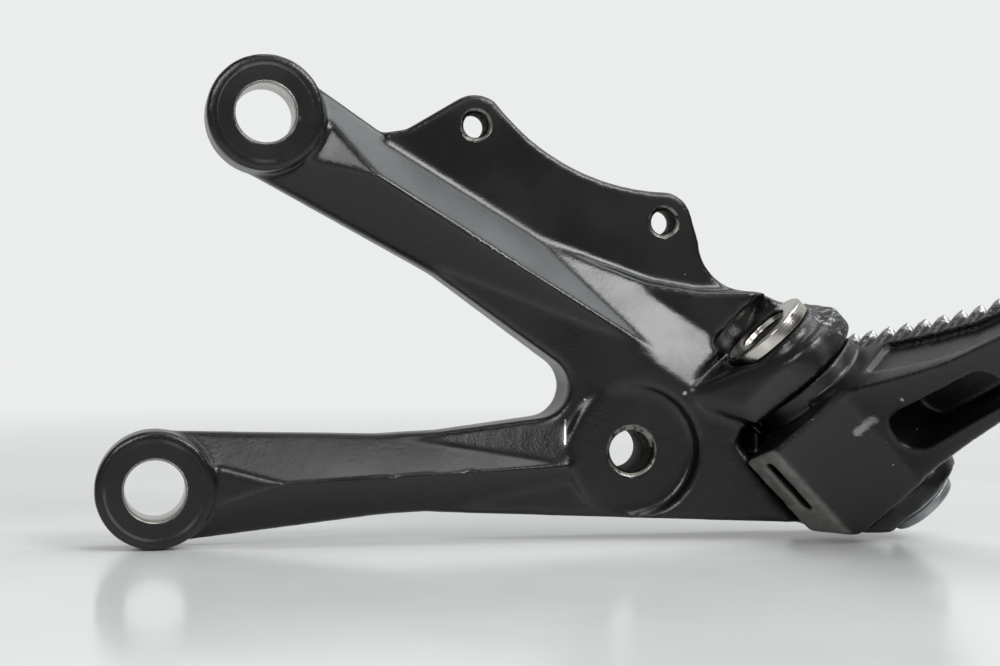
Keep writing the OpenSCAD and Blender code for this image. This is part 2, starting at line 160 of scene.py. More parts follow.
def span(value: bpy.types.NodeSocket, low: float, high: float, at_low: float = 0.0,
         at_high: float = 1.0) -> dict:
    """Inputs of a Map Range node.

    Args:
        value: The socket that is mapped.
        low: Where the change starts.
        high: Where it ends.
        at_low: Result at and before low.
        at_high: Result at and after high.

    Returns:
        The inputs by name.
    """
    return {"Value": value, "From Min": low, "From Max": high, "To Min": at_low, "To Max": at_high}


def distance_to(tree: bpy.types.NodeTree, place: bpy.types.NodeSocket, centre_mm: tuple[float, float, float],
                along: tuple[float, float, float] | None = None) -> bpy.types.NodeSocket:
    """Distance in metres from a point, or from the axis through it.

    Args:
        tree: The node tree.
        place: The Object coordinate socket.
        centre_mm: The point, in millimetres.
        along: Unit direction of the axis, or None for the point itself.

    Returns:
        The distance socket.
    """
    centre = tuple(c * MM for c in centre_mm)
    offset = add(tree, "ShaderNodeVectorMath", {0: place, 1: centre}, operation="SUBTRACT").outputs[0]
    if along is None:
        return add(tree, "ShaderNodeVectorMath", {0: offset}, operation="LENGTH").outputs["Value"]
    cross = add(tree, "ShaderNodeVectorMath", {0: offset, 1: along}, operation="CROSS_PRODUCT").outputs[0]
    return add(tree, "ShaderNodeVectorMath", {0: cross}, operation="LENGTH").outputs["Value"]


def ragged(tree: bpy.types.NodeTree, value: bpy.types.NodeSocket, grain: bpy.types.NodeSocket,
           amount: float) -> bpy.types.NodeSocket:
    """A value whose border is broken up by grain.

    Args:
        tree: The node tree.
        value: The socket with the clean value.
        grain: Noise around a half.
        amount: How far the noise moves the value.

    Returns:
        The ragged socket.
    """
    centred = add(tree, "ShaderNodeMath", {0: grain, 1: 0.5}, operation="SUBTRACT").outputs[0]
    inputs = {0: centred, 1: amount, 2: value}
    return add(tree, "ShaderNodeMath", inputs, operation="MULTIPLY_ADD").outputs[0]


def link_object(name: str, mesh: bpy.types.Mesh) -> bpy.types.Object:
    """Put a mesh in the scene at the origin.

    Args:
        name: The object's name.
        mesh: Its mesh.

    Returns:
        The new object.
    """
    obj = bpy.data.objects.new(name, mesh)
    bpy.context.scene.collection.objects.link(obj)
    return obj


def finish_modifiers(obj: bpy.types.Object) -> None:
    """Replace an object's mesh by what its modifiers make of it, and drop them.

    Args:
        obj: The object.
    """
    graph = bpy.context.evaluated_depsgraph_get()
    made = bpy.data.meshes.new_from_object(obj.evaluated_get(graph), preserve_all_data_layers=True,
                                           depsgraph=graph)
    obj.modifiers.clear()
    obj.data = made


def triangle_count(mesh: bpy.types.Mesh) -> int:
    """Triangles that a mesh makes."""
    return sum(len(p.vertices) - 2 for p in mesh.polygons)


def shade(obj: bpy.types.Object, angle_deg: float) -> None:
    """Smooth shading that keeps sharp edges hard.

    Args:
        obj: The object.
        angle_deg: Edges sharper than this stay hard.
    """
    mesh = obj.data
    mesh.polygons.foreach_set("use_smooth", [True] * len(mesh.polygons))
    mesh.set_sharp_from_angle(angle=math.radians(angle_deg))
    mesh.update()


# The hinge's own frame


@dataclass(frozen=True)
class HingeFrame:
    """Place and directions of the slanted hinge pin, in millimetres."""

    x: float = 127.0
    y: float = -5.1
    z: float = 28.7
    dip_deg: float = 47.0
    toe_deg: float = 3.0

    def matrix(self) -> Matrix:
        """Turn and shift from the pin's coordinates to the part's.

        Returns:
            The matrix, in metres.
        """
        dip = Matrix.Rotation(math.radians(self.dip_deg), 4, "Y")
        toe = Matrix.Rotation(math.radians(-self.toe_deg), 4, "Z")
        return Matrix.Translation((self.x * MM, self.y * MM, self.z * MM)) @ (dip @ toe)

    def axis(self) -> Vector:
        """Direction of the pin, from its head to its cap."""
        return (self.matrix().to_3x3() @ Vector((1, 0, 0))).normalized()

    def point(self) -> tuple[float, float, float]:
        """The hinge point in millimetres."""
        return (self.x, self.y, self.z)


HINGE = HingeFrame()


# Finishes


@dataclass(frozen=True)
class Streak:
    """A rub through the paint along a line between two places, in millimetres."""

    start: tuple[float, float, float]
    end: tuple[float, float, float]
    width: float
    strength: float = 0.7


@dataclass(frozen=True)
class SatinPaint:
    """Black powder paint, baked on a die casting.

    It gives the eye a soft gloss over a faint orange peel, with the grain of the
    casting under it, dust specks, and bare aluminium where edges have rubbed.
    """

    name: str = "satin_black_paint_on_cast_aluminium"
    paint: str = "#090909"
    # lighter grey that the end of the heel takes
    paint_warm: str = "#0D0C0C"
    dull: str = "#64645F"
    bare: str = "#B9BAB8"
    dust: str = "#8F908E"
    roughness_low: float = 0.23
    roughness_high: float = 0.31
    grain_mm: float = 0.5
    grain_share: float = 1.0
    peel_share: float = 1.3
    peel_mm: float = 2.4
    cloud_mm: float = 16.0
    speck_mm: float = 6.0
    bump_m: float = 0.00006
    mark_r_mm: float = 9.8
    pit_mm: float = 1.3
    pit_depth: float = 14.0
    eye_marks: tuple[tuple[float, float, float], ...] = ()
    rough_spots: tuple[tuple[float, float, float, float], ...] = ()
    scuffs: tuple[tuple[float, float, float, float], ...] = ()
    streaks: tuple[Streak, ...] = ()

    def build(self) -> bpy.types.Material:
        """Make the material.

        Returns:
            The painted finish.
        """
        material, tree, place = fresh_material(self.name)
        grain = add(tree, "ShaderNodeTexNoise",
                    {"Vector": place, "Scale": per_mm(self.grain_mm), "Detail": 3.0}).outputs[0]
        peel = add(tree, "ShaderNodeTexNoise",
                    {"Vector": place, "Scale": per_mm(self.peel_mm), "Detail": 1.0}).outputs[0]
        cloud = add(tree, "ShaderNodeTexNoise",
                    {"Vector": place, "Scale": per_mm(self.cloud_mm), "Detail": 4.0}).outputs[0]

        # dust: dots a third of a millimetre wide, at most one to each cell of speck_mm
        cells = add(tree, "ShaderNodeTexVoronoi",
                    {"Vector": place, "Scale": per_mm(self.speck_mm), "Randomness": 1.0}).outputs["Distance"]
        dots = add(tree, "ShaderNodeMapRange", span(cells, 0.018, 0.032, 1.0, 0.0), **SMOOTH).outputs[0]
        kept = add(tree, "ShaderNodeMapRange", span(cloud, 0.50, 0.56), **SMOOTH).outputs[0]
        dust = add(tree, "ShaderNodeMath", {0: dots, 1: kept}, operation="MULTIPLY").outputs[0]

        # rubbed edges: the mesh says how exposed each point is, and the noise breaks it up
        exposed = add(tree, "ShaderNodeAttribute", attribute_name="edge_wear").outputs["Fac"]
        broken = ragged(tree, exposed, grain, 0.9)
        worn = add(tree, "ShaderNodeMapRange", span(broken, 0.42, 0.8), **SMOOTH).outputs[0]

        fine = add(tree, "ShaderNodeMath", {0: grain, 1: self.grain_share}, operation="MULTIPLY").outputs[0]
        height = add(tree, "ShaderNodeMath", {0: peel, 1: self.peel_share, 2: fine},
                     operation="MULTIPLY_ADD").outputs[0]
        rough = add(tree, "ShaderNodeMapRange",
                    span(cloud, 0.35, 0.65, self.roughness_low, self.roughness_high), **SMOOTH).outputs[0]

        # flange marks: a pressed ring around each eye, duller inside it
        radius = self.mark_r_mm
        patchy = add(tree, "ShaderNodeMapRange", span(cloud, 0.46, 0.62, 0.0, 0.12), **SMOOTH).outputs[0]
        for mark in self.eye_marks:
            reach = distance_to(tree, place, mark, (0.0, 1.0, 0.0))
            rise = add(tree, "ShaderNodeMapRange",
                       span(reach, (radius - 0.45) * MM, (radius - 0.1) * MM), **SMOOTH).outputs[0]
            fall = add(tree, "ShaderNodeMapRange",
                       span(reach, (radius + 0.1) * MM, (radius + 0.45) * MM, 1.0, 0.0), **SMOOTH).outputs[0]
            inside = add(tree, "ShaderNodeMapRange",
                         span(reach, (radius - 0.3) * MM, (radius + 0.1) * MM, 1.0, 0.0), **SMOOTH).outputs[0]
            ring = add(tree, "ShaderNodeMath", {0: rise, 1: fall}, operation="MULTIPLY").outputs[0]
            height = add(tree, "ShaderNodeMath", {0: ring, 1: -1.1, 2: height},
                         operation="MULTIPLY_ADD").outputs[0]
            rough = add(tree, "ShaderNodeMath", {0: inside, 1: 0.05, 2: rough},
                        operation="MULTIPLY_ADD").outputs[0]
            rubbed = add(tree, "ShaderNodeMath", {0: ring, 1: patchy}, operation="MULTIPLY").outputs[0]
            worn = add(tree, "ShaderNodeMath", {0: worn, 1: rubbed}, operation="MAXIMUM").outputs[0]

        # patches where the metal is torn and pitted
        for x, y, z, size in self.rough_spots:
            reach = distance_to(tree, place, (x, y, z))
            near = add(tree, "ShaderNodeMapRange",
                       span(reach, size * MM * 0.4, size * MM, 1.0, 0.0), **SMOOTH).outputs[0]
            pits = add(tree, "ShaderNodeTexNoise",
                       {"Vector": place, "Scale": per_mm(self.pit_mm), "Detail": 4.0}).outputs[0]
            deep = add(tree, "ShaderNodeMath", {0: pits, 1: self.pit_depth}, operation="MULTIPLY").outputs[0]
            height = add(tree, "ShaderNodeMath", {0: near, 1: deep, 2: height},
                         operation="MULTIPLY_ADD").outputs[0]
            rough = add(tree, "ShaderNodeMath", {0: near, 1: 0.12, 2: rough},
                        operation="MULTIPLY_ADD").outputs[0]
            opened = add(tree, "ShaderNodeMapRange", span(pits, 0.56, 0.64, 0.0, 0.55), **SMOOTH).outputs[0]
            torn = add(tree, "ShaderNodeMath", {0: near, 1: opened}, operation="MULTIPLY").outputs[0]
            worn = add(tree, "ShaderNodeMath", {0: worn, 1: torn}, operation="MAXIMUM").outputs[0]

        # single scuffs through the paint
        for x, y, z, size in self.scuffs:
            reach = size * MM
            near = ragged(tree, distance_to(tree, place, (x, y, z)), grain, reach * 0.9)
            rub = add(tree, "ShaderNodeMapRange",
                      span(near, reach * 0.35, reach * 0.7, 0.85, 0.0), **SMOOTH).outputs[0]
            worn = add(tree, "ShaderNodeMath", {0: worn, 1: rub}, operation="MAXIMUM").outputs[0]

        # long rubs, ragged along their sides
        for streak in self.streaks:
            line = Vector(streak.end) - Vector(streak.start)
            way, width = tuple(line.normalized()), streak.width * MM
            offset = add(tree, "ShaderNodeVectorMath", {0: place, 1: tuple(c * MM for c in streak.start)},
                         operation="SUBTRACT").outputs[0]
            along = add(tree, "ShaderNodeVectorMath", {0: offset, 1: way},
                        operation="DOT_PRODUCT").outputs["Value"]
            held = add(tree, "ShaderNodeClamp",
                       {"Value": along, "Min": 0.0, "Max": line.length * MM}).outputs[0]
            foot = add(tree, "ShaderNodeVectorMath", {0: way, "Scale": held}, operation="SCALE").outputs[0]
            gap = add(tree, "ShaderNodeVectorMath", {0: offset, 1: foot},
                      operation="DISTANCE").outputs["Value"]
            rub = add(tree, "ShaderNodeMapRange",
                      span(ragged(tree, gap, grain, width), width * 0.2, width * 0.75, streak.strength, 0.0),
                      **SMOOTH).outputs[0]
            worn = add(tree, "ShaderNodeMath", {0: worn, 1: rub}, operation="MAXIMUM").outputs[0]

        warmth = add(tree, "ShaderNodeMapRange", span(cloud, 0.4, 0.62), **SMOOTH).outputs[0]
        tone = add(tree, "ShaderNodeMix", {0: warmth, 6: linear(self.paint), 7: linear(self.paint_warm)},
                   data_type="RGBA").outputs[2]
        # the end of the heel is made a lighter, duller grey, unevenly
        heel_end_mask = add(tree, "ShaderNodeAttribute", attribute_name="heel_end_mask").outputs["Fac"]
        uneven = add(tree, "ShaderNodeMapRange", span(peel, 0.35, 0.65, 0.7, 1.0), **SMOOTH).outputs[0]
        heel_end_mask = add(tree, "ShaderNodeMath", {0: heel_end_mask, 1: uneven}, operation="MULTIPLY").outputs[0]
        tone = add(tree, "ShaderNodeMix", {0: heel_end_mask, 6: tone, 7: linear(self.dull)},
                   data_type="RGBA").outputs[2]
        rough = add(tree, "ShaderNodeMath", {0: heel_end_mask, 1: 0.15, 2: rough},
                    operation="MULTIPLY_ADD").outputs[0]
        rough = add(tree, "ShaderNodeMath", {0: dust, 1: 0.4, 2: rough},
                    operation="MULTIPLY_ADD").outputs[0]
        dusty = add(tree, "ShaderNodeMix", {0: dust, 6: tone, 7: linear(self.dust)},
                    data_type="RGBA").outputs[2]
        colour = add(tree, "ShaderNodeMix", {0: worn, 6: dusty, 7: linear(self.bare)},
                     data_type="RGBA").outputs[2]
        bump = add(tree, "ShaderNodeBump", {"Height": height, "Strength": 0.55, "Distance": self.bump_m})
        shader = add(tree, "ShaderNodeBsdfPrincipled",
                     {"Base Color": colour, "Roughness": rough, "Metallic": worn, "IOR": 1.5,
                      "Normal": bump.outputs[0]})
        close_material(tree, shader)
        return material


@dataclass(frozen=True)
class TurnedMetal:
    """Metal cut on a lathe or with a drill: fine rings around its axis.

    The rings give the eye a brushed sheen that runs around the piece.
    """

    name: str
    colour: str
    stain: str
    roughness: float
    centre_mm: tuple[float, float, float]
    along: tuple[float, float, float]
    ring_mm: float = 0.35
    ring_depth: float = 0.35
    bump_m: float = 0.00004
    stain_mm: float = 5.0
    stain_share: float = 0.35
    metallic: float = 1.0

    def build(self) -> bpy.types.Material:
        """Make the material.

        Returns:
            The turned finish.
        """
        material, tree, place = fresh_material(self.name)
        centre = tuple(c * MM for c in self.centre_mm)
        offset = add(tree, "ShaderNodeVectorMath", {0: place, 1: centre}, operation="SUBTRACT").outputs[0]
        depth = add(tree, "ShaderNodeVectorMath", {0: offset, 1: self.along},
                    operation="DOT_PRODUCT").outputs["Value"]
        reach = distance_to(tree, place, self.centre_mm, self.along)
        where = add(tree, "ShaderNodeCombineXYZ", {0: reach, 1: depth, 2: 0.0}).outputs[0]
        # a third of a millimetre apart, coarser than a real tool's feed, so that it shows
        rings = add(tree, "ShaderNodeTexNoise",
                    {"Vector": where, "Scale": per_mm(self.ring_mm), "Detail": 2.0}).outputs[0]
        cloud = add(tree, "ShaderNodeTexNoise",
                    {"Vector": place, "Scale": per_mm(self.stain_mm), "Detail": 5.0}).outputs[0]
        spots = add(tree, "ShaderNodeMapRange", span(cloud, 0.48, 0.68, 0.0, self.stain_share),
                    **SMOOTH).outputs[0]
        colour = add(tree, "ShaderNodeMix", {0: spots, 6: linear(self.colour), 7: linear(self.stain)},
                     data_type="RGBA").outputs[2]
        rough = add(tree, "ShaderNodeMapRange",
                    span(rings, 0.3, 0.7, self.roughness - 0.07, self.roughness + 0.09), **SMOOTH).outputs[0]
        bump = add(tree, "ShaderNodeBump",
                   {"Height": rings, "Strength": self.ring_depth, "Distance": self.bump_m})
        shader = add(tree, "ShaderNodeBsdfPrincipled",
                     {"Base Color": colour, "Roughness": rough, "Metallic": self.metallic,
                      "Normal": bump.outputs[0]})
        close_material(tree, shader)
        return material


@dataclass(frozen=True)
class StudioFloor:
    """White laminate table top: smooth, with a soft reflection and a sheen that wanders a little."""

    name: str = "white_laminate_table"
    colour: str = "#D1D2D2"
    roughness: float = 0.16
    cloud_mm: float = 45.0
    centre_mm: tuple[float, float, float] = (80.0, 0.0, 0.0)
    fade_from: float = 0.12
    fade_to: float = 0.75

    def build(self) -> bpy.types.Material:
        """Make the material.

        Returns:
            The table's finish.
        """
        material, tree, place = fresh_material(self.name)
        cloud = add(tree, "ShaderNodeTexNoise",
                    {"Vector": place, "Scale": per_mm(self.cloud_mm), "Detail": 4.0}).outputs[0]
        rough = add(tree, "ShaderNodeMapRange",
                    span(cloud, 0.3, 0.7, self.roughness - 0.03, self.roughness + 0.04), **SMOOTH).outputs[0]
        shader = add(tree, "ShaderNodeBsdfPrincipled",
                     {"Base Color": linear(self.colour), "Roughness": rough, "IOR": 1.45,
                      "Specular IOR Level": 0.3})
        # far from the part the table runs into the white backdrop without a horizon
        reach = distance_to(tree, place, self.centre_mm)
        far = add(tree, "ShaderNodeMapRange", span(reach, self.fade_from, self.fade_to), **SMOOTH).outputs[0]
        sheet = add(tree, "ShaderNodeEmission", {"Color": linear(BACKDROP), "Strength": 1.0})
        seen = add(tree, "ShaderNodeLightPath").outputs["Is Camera Ray"]
        share = add(tree, "ShaderNodeMath", {0: far, 1: seen}, operation="MULTIPLY").outputs[0]
        blend = add(tree, "ShaderNodeMixShader", {0: share, 1: shader.outputs[0], 2: sheet.outputs[0]})
        close_material(tree, blend)
        return material


# Spun shapes


@dataclass
class Spun:
    """A closed shape of revolution from a profile of (radius, place along the axis) in millimetres."""

    profile: list[tuple[float, float]]
    base: Matrix
    steps: int = 96
    bevel_mm: float = 0.0

    def mesh(self, name: str, material: bpy.types.Material | None = None) -> bpy.types.Mesh:
        """Spin the profile about the X axis of base.

        Args:
            name: The mesh's name.
            material: Its material, or None.

        Returns:
            The closed mesh in the row frame.
        """
        bm = bmesh.new()
        verts = [bm.verts.new((along * MM, 0.0, radius * MM)) for radius, along in self.profile]
        edges = [bm.edges.new(pair) for pair in zip(verts, verts[1:])]
        bmesh.ops.spin(bm, geom=verts + edges, cent=(0, 0, 0), axis=(1, 0, 0), angle=math.tau,
                       steps=self.steps, use_merge=True, use_duplicate=False)
        bmesh.ops.remove_doubles(bm, verts=bm.verts, dist=WELD)
        bmesh.ops.recalc_face_normals(bm, faces=bm.faces)
        if self.bevel_mm:
            sharp = [e for e in bm.edges if len(e.link_faces) == 2 and e.calc_face_angle() > math.radians(28)]
            bmesh.ops.bevel(bm, geom=sharp, offset=self.bevel_mm * MM, offset_type="OFFSET", affect="EDGES",
                            segments=3, profile=0.5, material=-1, clamp_overlap=True)
        bmesh.ops.transform(bm, matrix=self.base, verts=bm.verts)
        mesh = bpy.data.meshes.new(name)
        bm.to_mesh(mesh)
        bm.free()
        if material:
            mesh.materials.append(material)
        return mesh


@dataclass
class ThreadCutter:
    """A solid rod with a screw thread, which cuts a threaded hole."""

    core_mm: float
    major_mm: float
    pitch_mm: float
    start_mm: float
    end_mm: float
    base: Matrix
    steps: int = 40

    def mesh(self, name: str, material: bpy.types.Material) -> bpy.types.Mesh:
        """Spin a row of teeth once around, one pitch further on, and trim the rod's ends.

        Args:
            name: The mesh's name.
            material: The finish that the cut wall takes.

        Returns:
            The closed mesh in the row frame.
        """
        bm = bmesh.new()
        turns = int((self.end_mm - self.start_mm) / self.pitch_mm) + 4
        first = self.start_mm - 2 * self.pitch_mm
        row = []
        for k in range(turns + 1):
            at = first + k * self.pitch_mm
            row += [(at, self.core_mm), (at + 0.12 * self.pitch_mm, self.core_mm),
                    (at + 0.5 * self.pitch_mm, self.major_mm), (at + 0.62 * self.pitch_mm, self.major_mm)]
        verts = [bm.verts.new((along * MM, 0.0, radius * MM)) for along, radius in row]
        edges = [bm.edges.new(pair) for pair in zip(verts, verts[1:])]
        bmesh.ops.spin(bm, geom=verts + edges, cent=(0, 0, 0), axis=(1, 0, 0), angle=math.tau,
                       dvec=(self.pitch_mm * MM / self.steps, 0, 0), steps=self.steps, use_merge=False,
                       use_duplicate=False)
        bmesh.ops.remove_doubles(bm, verts=bm.verts, dist=WELD)
        for at, side in ((self.start_mm, True), (self.end_mm, False)):
            bmesh.ops.bisect_plane(bm, geom=bm.verts[:] + bm.edges[:] + bm.faces[:], plane_co=(at * MM, 0, 0),
                                   plane_no=(1, 0, 0), clear_inner=side, clear_outer=not side, dist=WELD)
            open_edges = [e for e in bm.edges if len(e.link_faces) == 1]
            rim = [e for e in open_edges if all(abs(v.co.x - at * MM) < WELD for v in e.verts)]
            bmesh.ops.edgeloop_fill(bm, edges=rim)
        bmesh.ops.triangulate(bm, faces=[f for f in bm.faces if len(f.verts) > 4])
        bmesh.ops.recalc_face_normals(bm, faces=bm.faces)
        bmesh.ops.transform(bm, matrix=self.base, verts=bm.verts)
        mesh = bpy.data.meshes.new(name)
        bm.to_mesh(mesh)
        bm.free()
        mesh.materials.append(material)
        return mesh


def along_y(x: float, z: float) -> Matrix:
    """Base whose X axis runs along +Y through (x, z) millimetres."""
    return Matrix.Translation((x * MM, 0, z * MM)) @ Matrix.Rotation(math.radians(90), 4, "Z")


# Castings


@dataclass
class Casting:
    """A cast node with radii worked into its edges.

    The skin is taken off the frame's node by voxels of voxel_mm, relaxed, thinned,
    and cut with the tools that a machine shop would use.
    """

    frame: dict
    node: str
    piece: str
    voxel_mm: float
    relax: int
    triangles: int
    plugs: list[Spun] = field(default_factory=list)

    def skin(self) -> bpy.types.Object:
        """Make the cast skin, with its bores filled.

        Returns:
            The piece, before its holes are cut.
        """
        mesh = self.frame["nodes"][self.node].data.copy()
        mesh.materials.clear()
        bm = bmesh.new()
        bm.from_mesh(mesh)
        bmesh.ops.remove_doubles(bm, verts=bm.verts, dist=2e-7)
        for k, plug in enumerate(self.plugs):
            bm.from_mesh(plug.mesh(f"{self.piece}_plug_{k}"))
        bm.to_mesh(mesh)
        bm.free()
        obj = link_object(self.piece, mesh)
        skin = obj.modifiers.new("skin", "REMESH")
        skin.mode = "VOXEL"
        skin.voxel_size = self.voxel_mm * MM
        skin.use_smooth_shade = True
        relax = obj.modifiers.new("relax", "SMOOTH")
        relax.factor = 0.5
        relax.iterations = self.relax
        finish_modifiers(obj)
        count = triangle_count(obj.data)
        thin = obj.modifiers.new("thin", "DECIMATE")
        thin.ratio = min(1.0, self.triangles / count)
        finish_modifiers(obj)
        LOG.info("%s: %d triangles from %d", self.piece, triangle_count(obj.data), count)
        return obj

    def soften(self, obj: bpy.types.Object, weight: np.ndarray, rounds: int) -> None:
        """Work larger radii into a part of the skin.

        Args:
            obj: The piece.
            weight: How much each point is softened, from 0 to 1.
            rounds: How many times the skin is relaxed there.
        """
        group = obj.vertex_groups.new(name="soft")
        for step in range(1, 11):
            chosen = np.nonzero(np.round(weight * 10).astype(int) == step)[0]
            group.add([int(i) for i in chosen], step / 10, "REPLACE")
        relax = obj.modifiers.new("soften", "SMOOTH")
        relax.factor = 0.5
        relax.iterations = rounds
        relax.vertex_group = group.name
        finish_modifiers(obj)
        obj.vertex_groups.clear()

    def cut(self, obj: bpy.types.Object, tools: list[bpy.types.Mesh]) -> None:
        """Take the tools' shapes out of the piece, and leave their finish on the cut walls.

        Args:
            obj: The piece.
            tools: Closed meshes that don't overlap each other.
        """
        bm = bmesh.new()
        slots: list[bpy.types.Material] = []
        for tool in tools:
            first = len(bm.faces)
            bm.from_mesh(tool)
            bm.faces.ensure_lookup_table()
            for face in bm.faces[first:]:
                if tool.materials[0] not in slots:
                    slots.append(tool.materials[0])
                face.material_index = slots.index(tool.materials[0])
        joined = bpy.data.meshes.new(f"{self.piece}_tool")
        bm.to_mesh(joined)
        bm.free()
        for material in slots:
            joined.materials.append(material)
        tool_obj = link_object(f"{self.piece}_tool", joined)
        cut = obj.modifiers.new("cut", "BOOLEAN")
        cut.operation = "DIFFERENCE"
        cut.solver = "EXACT"
        cut.material_mode = "TRANSFER"
        cut.object = tool_obj
        finish_modifiers(obj)
        bpy.data.objects.remove(tool_obj)

    def wear(self, obj: bpy.types.Object, zones: "WearZones") -> None:
        """Write how exposed each point is, from the mesh's own curvature, as the edge_wear attribute.

        Args:
            obj: The piece.
            zones: How much of the wear shows where.
        """
        mesh = obj.data
        count = len(mesh.vertices)
        points = np.empty(count * 3, np.float32)
        mesh.vertices.foreach_get("co", points)
        points = points.reshape(-1, 3).astype(float)
        normals = np.empty(count * 3, np.float32)
        mesh.vertices.foreach_get("normal", normals)
        normals = normals.reshape(-1, 3).astype(float)
        pairs = np.empty(len(mesh.edges) * 2, np.int32)
        mesh.edges.foreach_get("vertices", pairs)
        pairs = pairs.reshape(-1, 2)
        delta = points[pairs[:, 1]] - points[pairs[:, 0]]
        square = np.maximum((delta**2).sum(1), 1e-12)
        bend = np.zeros(count)
        uses = np.zeros(count)
        for here, sign in ((0, -1.0), (1, 1.0)):
            who = pairs[:, here]
            curve = 2.0 * sign * (delta * normals[who]).sum(1) / square
            np.add.at(bend, who, curve)
            np.add.at(uses, who, 1.0)
        bend /= np.maximum(uses, 1.0)
        near = np.zeros(count)
        np.add.at(near, pairs[:, 0], bend[pairs[:, 1]])
        np.add.at(near, pairs[:, 1], bend[pairs[:, 0]])
        bend = 0.5 * bend + 0.5 * near / np.maximum(uses, 1.0)
        value = np.clip(bend * MM / zones.full_per_mm, 0.0, 1.0) * zones.weight(points / MM)
        value = np.maximum(value, zones.bare(points / MM))
        layer = mesh.attributes.new("edge_wear", "FLOAT", "POINT")
        layer.data.foreach_set("value", value.astype(np.float32))


@dataclass(frozen=True)
class WearZones:
    """How much of the edge wear shows, by place.

    full_per_mm is the curvature, one over a radius in millimetres, that counts as a full edge. Each ball is
    a centre, a size and the weight inside it. The slab is a direction and two levels along it from the hinge
    point: its weight grows from the first to the second, and slab_bare is the wear that comes in beyond them.
    """

    full_per_mm: float
    base: float
    balls: tuple[tuple[float, float, float, float, float], ...] = ()
    slab: tuple[float, float, float, float, float] | None = None
    slab_weight: float = 1.0
    slab_bare: float = 0.0

    def levels(self, points: np.ndarray) -> tuple[np.ndarray, float, float]:
        """Level of each point along the slab's direction, with the slab's two levels."""
        nx, ny, nz, low, high = self.slab
        return (points - np.array(HINGE.point())) @ np.array([nx, ny, nz]), low, high

    def bare(self, points: np.ndarray) -> np.ndarray:
        """Wear of the faces beyond the slab, flat ones too.

        Args:
            points: Places in millimetres, one row each.

        Returns:
            One wear value per row.
        """
        if not self.slab:
            return np.zeros(len(points))
        level, low, high = self.levels(points)
        return self.slab_bare * np.clip((level - high) / (high - low), 0.0, 1.0)

    def weight(self, points: np.ndarray) -> np.ndarray:
        """Weight of each point.

        Args:
            points: Places in millimetres, one row each.

        Returns:
            One weight per row.
        """
        weight = np.full(len(points), self.base)
        for x, y, z, size, value in self.balls:
            far = np.linalg.norm(points - np.array([x, y, z]), axis=1)
            weight = np.maximum(weight, value * np.clip(1.6 - far / size, 0.0, 1.0))
        if self.slab:
            level, low, high = self.levels(points)
            weight = np.maximum(weight, self.slab_weight * np.clip((level - low) / (high - low), 0.0, 1.0))
        return weight


